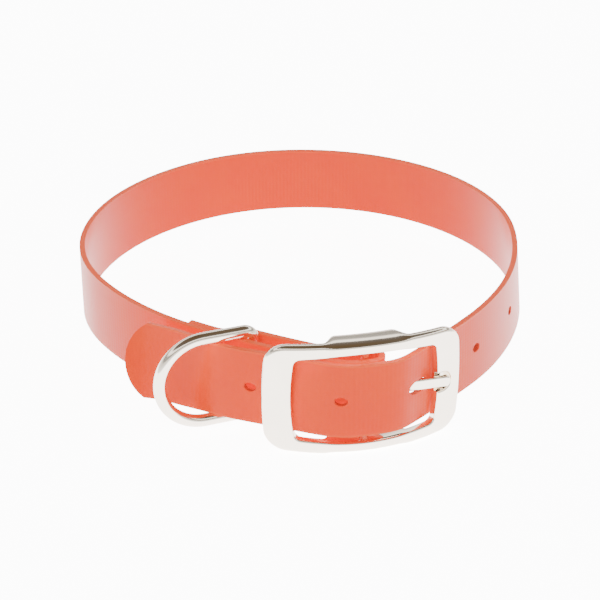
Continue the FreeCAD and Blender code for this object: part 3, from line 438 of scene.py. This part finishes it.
class CollarSizes(bpy.types.PropertyGroup):
    strap_width: bpy.props.FloatProperty(
        name="Strap width", description="Width of the strap", default=0.026, min=0.01,
        max=0.06, unit="LENGTH")
    strap_thick: bpy.props.FloatProperty(
        name="Strap thickness", description="Thickness of the coated strap", default=0.002,
        min=0.001, max=0.006, unit="LENGTH")
    edge_round: bpy.props.FloatProperty(
        name="Edge rounding", description="Rounding of the strap's edges", default=0.00055,
        min=0.0001, max=0.001, unit="LENGTH")
    wire: bpy.props.FloatProperty(
        name="Ring wire", description="Thickness of the ring's wire", default=0.0043,
        min=0.002, max=0.008, unit="LENGTH")
    frame_round: bpy.props.FloatProperty(
        name="Frame rounding", description="Rounding of the frame's front edges",
        default=0.0016, min=0.0002, max=0.002, unit="LENGTH")


class CollarStage(bpy.types.PropertyGroup):
    azimuth: bpy.props.FloatProperty(
        name="Camera azimuth", description="Where the camera stands round the collar",
        default=math.radians(-13.07), subtype="ANGLE")
    elevation: bpy.props.FloatProperty(
        name="Camera elevation", description="Height of the camera above the horizon",
        default=math.radians(26.93), subtype="ANGLE")
    distance: bpy.props.FloatProperty(
        name="Camera distance", description="From the camera to its target", default=0.6302,
        unit="LENGTH")
    lens: bpy.props.FloatProperty(
        name="Lens", description="Focal length in millimetres", default=100.1)
    target: bpy.props.FloatVectorProperty(
        name="Target", description="Point that the camera looks at", size=3,
        default=(-0.0002, -0.0008, 0.0085), subtype="TRANSLATION", unit="LENGTH")
    roll: bpy.props.FloatProperty(
        name="Camera roll", description="Turn of the camera about its own view",
        default=math.radians(-0.17), subtype="ANGLE")
    floor: bpy.props.FloatVectorProperty(
        name="Floor", description="Colour of the floor", subtype="COLOR", size=3,
        default=(0.9, 0.9, 0.9), min=0.0, max=1.0)


FINISHES = {}


def finish(name):
    """A material of the collar, made once."""
    settings = bpy.context.scene.collar_finish
    if name not in FINISHES:
        if name == "coat":
            FINISHES[name] = coat_material(settings)
        elif name == "webbing":
            FINISHES[name] = webbing_material(settings)
        else:
            FINISHES[name] = metal_material(name, tuple(settings.metal), 0.07)
    return FINISHES[name]


# ---------------------------------------------------------------- operators

class COLLAR_OT_strap(bpy.types.Operator):
    """Make the coated strap as one strip: flat first, with its holes, then laid round."""
    bl_idname = "collar.strap"
    bl_label = "Strap"

    def execute(self, context):
        sizes = context.scene.collar_sizes
        line = StrapLine()
        width, thick = sizes.strap_width / MM, sizes.strap_thick / MM
        rows = 18
        row = width / rows
        # columns are counted from the hole in use, so that every hole is centred on one
        before = math.ceil((USED_HOLE - line.start) / COLUMN)
        after = math.ceil((line.end - USED_HOLE) / COLUMN)
        bm = bmesh.new()
        bmesh.ops.create_grid(bm, x_segments=before + after, y_segments=rows, size=0.5)
        for vert in bm.verts:
            vert.co.x = (vert.co.x + 0.5) * (before + after) * COLUMN - before * COLUMN
            vert.co.y *= width
        cut_oval(bm, COLUMN, row, -2, 5, 3, 9.8, 4.8, 0.85)
        for number in (-2, -1, 1, 2):
            cut_oval(bm, COLUMN, row, number * 24, 3, 2, 4.2, 3.0)
        slot_column = round((line.loop + 8.0 - USED_HOLE) / COLUMN)
        cut_oval(bm, COLUMN, row, slot_column, 10, 3, 24.0, 4.9, 0.4)

        tip, end = line.start - USED_HOLE, line.end - USED_HOLE
        for vert in bm.verts:
            curve = TIP_RADIUS - math.sqrt(TIP_RADIUS ** 2 - vert.co.y ** 2)
            part = (vert.co.x - tip) / TIP_FADE
            if part < 1.0:
                vert.co.x += curve * (1.0 - max(part, 0.0))
            vert.co.x = max(tip + (curve if part < 1.0 else 0.0), min(end, vert.co.x))
        made = bmesh.ops.extrude_face_region(bm, geom=list(bm.faces), use_keep_orig=True)
        lifted = [g for g in made["geom"] if isinstance(g, bmesh.types.BMVert)]
        for vert in bm.verts:
            vert.co.z = -thick / 2
        for vert in lifted:
            vert.co.z = thick / 2
        bmesh.ops.recalc_face_normals(bm, faces=bm.faces)
        rims = [e for e in bm.edges if len(e.link_faces) == 2
                and abs(e.verts[0].co.z - e.verts[1].co.z) < 1e-6
                and e.calc_face_angle(0.0) > 1.0]
        outer = [e for e in rims if all(abs(abs(v.co.y) - width / 2) < 1e-4 for v in e.verts)
                 or min(v.co.x for v in e.verts) < tip + TIP_ZONE
                 or max(v.co.x for v in e.verts) > end - 0.01]
        chosen = set(outer)
        holes = [e for e in rims if e not in chosen]
        walls = [f for f in bm.faces if abs(f.normal.z) < 0.5
                 and max(abs(v.co.y) for v in f.verts) < width / 2 - 1e-4]
        for face in walls:
            if min(v.co.x for v in face.verts) > tip + TIP_ZONE:
                face.material_index = 1
        bmesh.ops.bevel(bm, geom=outer, offset=sizes.edge_round / MM, segments=4, profile=0.5,
                        affect="EDGES", material=0, clamp_overlap=True)
        holes = [e for e in holes if e.is_valid]
        bmesh.ops.bevel(bm, geom=holes, offset=0.18, segments=2, profile=0.5,
                        affect="EDGES", material=0, clamp_overlap=True)
        strip = bm.loops.layers.uv.new("strip")
        for face in bm.faces:
            for loop in face.loops:
                loop[strip].uv = (loop.vert.co.x, loop.vert.co.y)
        for vert in bm.verts:
            vert.co = line.lay(vert.co.x + USED_HOLE, vert.co.y, vert.co.z)
        finished(bm, "strap", [finish("coat"), finish("webbing")], "strap",
                 ["strap_coating", "strap_webbing"], 50.0)
        return {"FINISHED"}


FRAME_WIDE, FRAME_TALL, FRAME_THICK = 68.4, 41.0, 3.2
WINDOW_WIDE, WINDOW_TALL = 50.0, 32.4
FRAME_RADIUS, FRONT_Y = 70.0, -98.0
RAIL_BOW, SIDE_BOW = 1.5, 1.2
LUG_TOP, LUG_BASE, LUG_DEPTH = 20.0, 30.0, 8.6
NOTCH_TALL, NOTCH_LONG = 7.0, 5.2


def bowed(co, wide, tall):
    """Let the sides of a rectangle of that size swell outward."""
    across, up = co.x / (wide / 2), co.z / (tall / 2)
    return Vector((co.x * (1 - SIDE_BOW / (wide / 2) * up * up), co.y,
                   co.z * (1 - RAIL_BOW / (tall / 2) * across * across)))


def curved(x, depth, z):
    """Place on the frame's curve of a point at a depth behind its front, in mm."""
    angle = math.asin(x / FRAME_RADIUS)
    reach = FRAME_RADIUS - depth
    return Vector((reach * math.sin(angle), FRONT_Y + FRAME_RADIUS - reach * math.cos(angle), z))


class COLLAR_OT_frame(bpy.types.Operator):
    """Make the cast frame: a bowed plate with a window and a notch, curved, with two lugs."""
    bl_idname = "collar.frame"
    bl_label = "Buckle frame"

    def execute(self, context):
        round_front = context.scene.collar_sizes.frame_round / MM
        bm = bmesh.new()
        # the window's outline is bowed and notched alone, then joins the outer one
        outline(bm, WINDOW_WIDE, WINDOW_TALL, 2.0, 45, 40)
        for vert in bm.verts:
            vert.co = bowed(vert.co, WINDOW_WIDE, WINDOW_TALL)
        # the bay for the tongue: the middle of the right side swings out into a U
        half = NOTCH_TALL / 2
        for vert in bm.verts:
            if vert.co.x > WINDOW_WIDE / 2 - 3 and abs(vert.co.z) < half + 0.9:
                if abs(vert.co.z) < half:
                    bulge = math.sqrt(half * half - vert.co.z * vert.co.z)
                    vert.co.x = WINDOW_WIDE / 2 + NOTCH_LONG - half + bulge
                elif abs(vert.co.z) < half + 0.55:
                    vert.co.z = math.copysign(half + 0.02, vert.co.z)
        window = bm.copy()
        bm.clear()
        outline(bm, FRAME_WIDE, FRAME_TALL, 6.5, 14, 50)
        for vert in bm.verts:
            vert.co = bowed(vert.co, FRAME_WIDE, FRAME_TALL)
        join_edges(bm, window)
        bmesh.ops.triangle_fill(bm, use_beauty=True, use_dissolve=False, edges=list(bm.edges))
        made = bmesh.ops.extrude_face_region(bm, geom=list(bm.faces), use_keep_orig=True)
        back = {g for g in made["geom"] if isinstance(g, bmesh.types.BMVert)}
        for vert in bm.verts:
            vert.co.y = FRAME_THICK if vert in back else 0.0
        bmesh.ops.recalc_face_normals(bm, faces=bm.faces)

        def rims(at, within):
            return [e for e in bm.edges if e.is_valid and len(e.link_faces) == 2
                    and e.calc_face_angle(0.0) > 1.0
                    and all(abs(v.co.y - at) < 1e-6 for v in e.verts)
                    and within(e.verts[0].co)]

        def on_outside(co):
            reach = max(abs(co.x) / (WINDOW_WIDE / 2), abs(co.z) / (WINDOW_TALL / 2))
            in_bay = abs(co.z) < NOTCH_TALL and 0 < co.x < WINDOW_WIDE / 2 + NOTCH_LONG + 1
            return reach > 1.1 and not in_bay

        def on_window(co):
            return not on_outside(co)

        for at, within, offset, segments in ((0.0, on_outside, round_front, 5),
                                             (0.0, on_window, 0.8, 4),
                                             (FRAME_THICK, on_outside, 0.9, 4),
                                             (FRAME_THICK, on_window, 0.5, 3)):
            bmesh.ops.bevel(bm, geom=rims(at, within), offset=offset, segments=segments,
                            profile=0.5, affect="EDGES", material=-1, clamp_overlap=True)
        for step in range(-34, 35):
            bmesh.ops.bisect_plane(bm, geom=list(bm.verts) + list(bm.edges) + list(bm.faces),
                                   dist=1e-5, plane_co=(step, 0, 0), plane_no=(1, 0, 0))
        for vert in bm.verts:
            x, depth, z = vert.co
            rise = 1 - smooth_part((abs(x) - LUG_TOP / 2) / ((LUG_BASE - LUG_TOP) / 2))
            extra = (LUG_DEPTH - FRAME_THICK) * rise * depth / FRAME_THICK
            place = curved(x, depth, z)
            place.y += extra
            place.z += FRAME_TALL / 2
            vert.co = place * MM
        floor = bmesh.ops.create_cube(bm, size=1.0)["verts"]
        for vert in floor:
            x = WINDOW_WIDE / 2 + 0.1 + (vert.co.x + 0.5) * (NOTCH_LONG + 1.0)
            depth = 2.3 + (vert.co.y + 0.5) * 0.8
            place = curved(x, depth, vert.co.z * (NOTCH_TALL + 1.5))
            place.z += FRAME_TALL / 2
            vert.co = place * MM
        finished(bm, "buckle_frame_cast", finish("metal"), "buckle", ["buckle_frame"],
                 35.0)
        return {"FINISHED"}


def join_edges(bm, other):
    """Copy another bmesh's edges into this one."""
    twin = {vert.index: bm.verts.new(vert.co) for vert in other.verts}
    for edge in other.edges:
        bm.edges.new([twin[vert.index] for vert in edge.verts])
    other.free()


def smooth_part(part):
    part = min(max(part, 0.0), 1.0)
    return part * part * (3 - 2 * part)


class COLLAR_OT_bar(bpy.types.Operator):
    """Make the centre bar between the lugs."""
    bl_idname = "collar.bar"
    bl_label = "Centre bar"

    def execute(self, context):
        bm = bmesh.new()
        place = Matrix.Translation((0, BAR_Y * MM, FRAME_TALL / 2 * MM))
        made = bmesh.ops.create_cone(bm, cap_ends=True, segments=48, radius1=BAR_RADIUS * MM,
                                     radius2=BAR_RADIUS * MM, depth=BAR_LENGTH * MM,
                                     matrix=place)["verts"]
        ends = [e for e in bm.edges if e.calc_face_angle(0.0) > 1.0]
        bmesh.ops.bevel(bm, geom=ends, offset=0.3 * MM, segments=3, profile=0.5,
                        affect="EDGES", material=-1)
        finished(bm, "bar_pin", finish("metal"), "buckle", ["centre_bar"])
        return {"FINISHED"}


class COLLAR_OT_tongue(bpy.types.Operator):
    """Make the tongue: a tapered shank with a round eye."""
    bl_idname = "collar.tongue"
    bl_label = "Tongue"

    def execute(self, context):
        bm = bmesh.new()
        wide, root, tip = TONGUE_WIDE, TONGUE_ROOT, TONGUE_TIP
        shank = bmesh.ops.create_cube(bm, size=1.0)["verts"]
        for vert in shank:
            at_tip = vert.co.x > 0
            thick = 1.8 if at_tip else 2.2
            lift = 0.7 if at_tip else 0.0
            vert.co = Vector((tip if at_tip else root, vert.co.y * thick + BAR_Y + lift,
                              vert.co.z * wide))
        corners = [e for e in bm.edges
                   if all(v.co.x > tip - 0.1 for v in e.verts)
                   and abs(e.verts[0].co.z - e.verts[1].co.z) < 1e-6]
        bmesh.ops.bevel(bm, geom=corners, offset=1.5, segments=6, profile=0.5,
                        affect="EDGES", material=-1)
        sharp = [e for e in bm.edges if e.calc_face_angle(0.0) > 1.0]
        bmesh.ops.bevel(bm, geom=sharp, offset=0.6, segments=4, profile=0.5,
                        affect="EDGES", material=-1)
        # the eye is a rounded band turned round the bar
        band = bmesh.ops.create_grid(bm, x_segments=1, y_segments=1, size=0.5,
                                     matrix=Matrix.Rotation(math.pi / 2, 4, "X"))["verts"]
        for vert in band:
            vert.co.x = 1.65 + (vert.co.x + 0.5) * 1.5
            vert.co.z *= wide
            vert.co.y = BAR_Y
        bmesh.ops.bevel(bm, geom=band, offset=0.45, segments=4, profile=0.5,
                        affect="VERTICES", material=-1)
        geom = [f for f in bm.faces if all(abs(v.co.y - BAR_Y) < 1e-5 for v in f.verts)
                and max(v.co.x for v in f.verts) < 3.3]
        edges = list({e for f in geom for e in f.edges})
        bmesh.ops.delete(bm, geom=geom, context="FACES_ONLY")
        verts = list({v for e in edges for v in e.verts})
        bmesh.ops.spin(bm, geom=verts + edges, cent=(0, BAR_Y, 0), axis=(0, 0, 1),
                       angle=2 * math.pi, steps=48, use_merge=True)
        bmesh.ops.remove_doubles(bm, verts=bm.verts, dist=1e-5)
        for vert in bm.verts:
            vert.co = (vert.co + Vector((0, 0, FRAME_TALL / 2))) * MM
        finished(bm, "tongue_pin", finish("metal"), "tongue", ["tongue"])
        return {"FINISHED"}


class COLLAR_OT_ring(bpy.types.Operator):
    """Make the D-ring from one length of round wire, bent and closed."""
    bl_idname = "collar.ring"
    bl_label = "D-ring"

    def execute(self, context):
        wire = context.scene.collar_sizes.wire / MM / 2
        corner, turned = RING_CORNER, math.radians(RING_REST)
        bar_end, bow_x = RING_HALF - corner, -(RING_LENGTH - RING_HALF)
        bm = bmesh.new()
        made = bmesh.ops.create_circle(bm, segments=40, radius=wire)["verts"]
        edges = list({e for v in made for e in v.link_edges})

        def straight(verts_edges, move):
            out = bmesh.ops.extrude_edge_only(bm, edges=verts_edges)["geom"]
            verts = [g for g in out if isinstance(g, bmesh.types.BMVert)]
            bmesh.ops.translate(bm, verts=verts, vec=move)
            return [g for g in out if isinstance(g, bmesh.types.BMEdge)
                    and all(v in verts for v in g.verts)]

        def bend(from_edges, centre, angle, steps):
            verts = list({v for e in from_edges for v in e.verts})
            out = bmesh.ops.spin(bm, geom=verts + list(from_edges), cent=centre,
                                 axis=(0, -1, 0), angle=angle, steps=steps,
                                 use_merge=False)["geom_last"]
            return [g for g in out if isinstance(g, bmesh.types.BMEdge)]

        rim = straight(edges, Vector((0, 0, bar_end)))
        rim = bend(rim, Vector((-corner, 0, bar_end)), math.pi / 2, 12)
        rim = straight(rim, Vector((bow_x + corner, 0, 0)))
        rim = bend(rim, Vector((bow_x, 0, 0)), math.pi, 64)
        rim = straight(rim, Vector((-corner - bow_x, 0, 0)))
        rim = bend(rim, Vector((-corner, 0, -bar_end)), math.pi / 2, 12)
        straight(rim, Vector((0, 0, bar_end)))
        bmesh.ops.remove_doubles(bm, verts=bm.verts, dist=1e-4)
        turn = Matrix.Rotation(turned, 3, "Z")
        joint = next(j for j in frame["joints"] if j["name"] == "ring_swing")
        bar = Vector(joint["pos_m"])
        for vert in bm.verts:
            vert.co = turn @ vert.co * MM + Vector((bar.x, bar.y, FRAME_TALL / 2 * MM))
        finished(bm, "ring_wire", finish("ring_metal"), "d_ring", ["d_ring"])
        return {"FINISHED"}


class COLLAR_OT_rivets(bpy.types.Operator):
    """Make the two rivets' domed heads and caps."""
    bl_idname = "collar.rivets"
    bl_label = "Rivets"

    def execute(self, context):
        line = StrapLine()
        at = line.end - RIVET_BACK
        for name, outward, node in (("rivet_heads", 1.0, "rivet_posts"),
                                    ("rivet_domes", -1.0, "rivet_caps")):
            bm = bmesh.new()
            for sign in (1.0, -1.0):
                self.add_dome(bm, line, at, sign, outward)
            finished(bm, name, finish("metal"), "strap", [node])
        return {"FINISHED"}

    def add_dome(self, bm, line, at, sign, outward):
        """One low dome, turned from its own section, on a face of the fold."""
        base = 1.0 if outward > 0 else 3.4
        before = set(bm.verts)
        profile = [bm.verts.new((0.0, 0.0, HEAD_THICK)),
                   bm.verts.new((HEAD_RADIUS, 0.0, 0.0))]
        edge = bm.edges.new(profile)
        bmesh.ops.subdivide_edges(bm, edges=[edge], cuts=10)
        section = [v for v in bm.verts if v not in before]
        for vert in section:
            part = vert.co.x / HEAD_RADIUS
            vert.co.z = HEAD_THICK * math.sqrt(max(0.0, 1 - part * part)) * 0.9 + 0.1 * (1 - part)
        edges = list({e for v in section for e in v.link_edges})
        bmesh.ops.spin(bm, geom=section + edges, cent=(0, 0, 0), axis=(0, 0, 1),
                       angle=2 * math.pi, steps=40, use_merge=True)
        bmesh.ops.remove_doubles(bm, verts=[v for v in bm.verts if v not in before], dist=1e-4)
        fresh = [v for v in bm.verts if v not in before]
        rim = [e for e in bm.edges if e.is_boundary and e.verts[0] in set(fresh)]
        bmesh.ops.holes_fill(bm, edges=rim, sides=0)
        centre = line.lay(at, sign * RIVET_SPREAD, 0.0)
        out = (line.lay(at, sign * RIVET_SPREAD, 1.0) - centre).normalized() * outward
        turn = UP.rotation_difference(out).to_matrix()
        for vert in fresh:
            vert.co = centre + out * base * MM + turn @ (vert.co * MM)


class COLLAR_OT_stage(bpy.types.Operator):
    """Make the floor, the soft light and the camera."""
    bl_idname = "collar.stage"
    bl_label = "Stage"

    def execute(self, context):
        stage = context.scene.collar_stage
        bm = bmesh.new()
        bmesh.ops.create_grid(bm, x_segments=1, y_segments=1, size=6.0)
        mesh = bpy.data.meshes.new("floor")
        bm.to_mesh(mesh)
        bm.free()
        floor = bpy.data.objects.new("floor", mesh)
        context.scene.collection.objects.link(floor)
        tree = Tree("floor")
        tree.fixed(Base_Color=(*stage.floor, 1.0), Roughness=0.9, Specular_IOR_Level=0.0,
                   Emission_Color=(1.0, 1.0, 1.0, 1.0))
        # the floor is brighter to look at and in reflections than as a source of light
        seen = tree.node("ShaderNodeLightPath")
        mirrored = tree.node("ShaderNodeLightPath", output=3)
        tree.feed("Emission Strength", seen * 11.0 + mirrored * 4.6 + 0.42)
        mesh.materials.append(tree.material)

        world = bpy.data.worlds.new("studio")
        context.scene.world = world
        world.use_nodes = True
        nodes, links = world.node_tree.nodes, world.node_tree.links
        where = nodes.new("ShaderNodeTexCoord")
        parts = nodes.new("ShaderNodeSeparateXYZ")
        ramp = nodes.new("ShaderNodeValToRGB")
        ramp.color_ramp.elements[0].position = 0.0
        ramp.color_ramp.elements[0].color = (0.95, 0.95, 0.95, 1)
        for place, shade in ((0.30, 0.55), (0.38, 0.20), (0.52, 0.22), (0.58, 0.95), (0.68, 1.1),
                             (0.74, 0.08)):
            element = ramp.color_ramp.elements.new(place)
            element.color = (shade, shade * 0.97, shade * 0.93, 1)
        ramp.color_ramp.elements[-1].color = (0.06, 0.04, 0.022, 1)
        links.new(where.outputs["Generated"], parts.inputs[0])
        links.new(parts.outputs[2], ramp.inputs[0])
        links.new(ramp.outputs[0], nodes["Background"].inputs["Color"])
        kind = nodes.new("ShaderNodeLightPath")
        strength = nodes.new("ShaderNodeMath")
        strength.operation = "MULTIPLY_ADD"
        strength.inputs[1].default_value = 1.7
        strength.inputs[2].default_value = 0.95
        links.new(kind.outputs["Is Glossy Ray"], strength.inputs[0])
        links.new(strength.outputs[0], nodes["Background"].inputs["Strength"])

        for name, place, size, energy in (
                ("key", (-0.7, -0.9, 0.9), 0.8, 9.0), ("fill", (1.0, -0.5, 0.7), 0.7, 6.0),
                ("back", (0.1, 1.1, 0.8), 0.9, 6.0)):
            light = bpy.data.lights.new(name, "AREA")
            light.size = size
            light.energy = energy
            lamp = bpy.data.objects.new(name, light)
            lamp.location = place
            lamp.visible_glossy = False
            lamp.rotation_mode = "QUATERNION"
            lamp.rotation_quaternion = (-Vector(place)).to_track_quat("-Z", "Y")
            context.scene.collection.objects.link(lamp)

        data = bpy.data.cameras.new("camera")
        camera = bpy.data.objects.new("camera", data)
        context.scene.collection.objects.link(camera)
        data.lens = stage.lens
        data.sensor_width = 36.0
        back = Vector((math.sin(stage.azimuth) * math.cos(stage.elevation),
                       -math.cos(stage.azimuth) * math.cos(stage.elevation),
                       math.sin(stage.elevation)))
        camera.location = Vector(stage.target) + back * stage.distance
        camera.rotation_mode = "QUATERNION"
        look = (-back).to_track_quat("-Z", "Y")
        camera.rotation_quaternion = look @ Matrix.Rotation(stage.roll, 3, "Z").to_quaternion()
        data.clip_start, data.clip_end = 0.01, 50.0
        context.scene.camera = camera
        return {"FINISHED"}


class COLLAR_PT_panel(bpy.types.Panel):
    """Lists the collar's settings and its pieces."""
    bl_idname = "COLLAR_PT_panel"
    bl_label = "Collar"
    bl_space_type = "VIEW_3D"
    bl_region_type = "UI"
    bl_category = "Collar"

    def draw(self, context):
        for group in (context.scene.collar_sizes, context.scene.collar_finish,
                      context.scene.collar_stage):
            box = self.layout.box()
            for name in group.__annotations__:
                box.prop(group, name)
        for operator in OPERATORS:
            self.layout.operator(operator.bl_idname)


SETTINGS = {"collar_finish": CollarFinish, "collar_sizes": CollarSizes,
            "collar_stage": CollarStage}
OPERATORS = (COLLAR_OT_stage, COLLAR_OT_strap, COLLAR_OT_frame, COLLAR_OT_bar,
             COLLAR_OT_tongue, COLLAR_OT_ring, COLLAR_OT_rivets)


def register():
    for name, group in SETTINGS.items():
        bpy.utils.register_class(group)
        setattr(bpy.types.Scene, name, bpy.props.PointerProperty(type=group))
    for operator in OPERATORS:
        bpy.utils.register_class(operator)
    bpy.utils.register_class(COLLAR_PT_panel)


def unregister():
    bpy.utils.unregister_class(COLLAR_PT_panel)
    for operator in reversed(OPERATORS):
        bpy.utils.unregister_class(operator)
    for name, group in SETTINGS.items():
        delattr(bpy.types.Scene, name)
        bpy.utils.unregister_class(group)


def main():
    register()
    for operator in OPERATORS:
        group, name = operator.bl_idname.split(".")
        getattr(getattr(bpy.ops, group), name)()


if __name__ == "__main__":
    main()
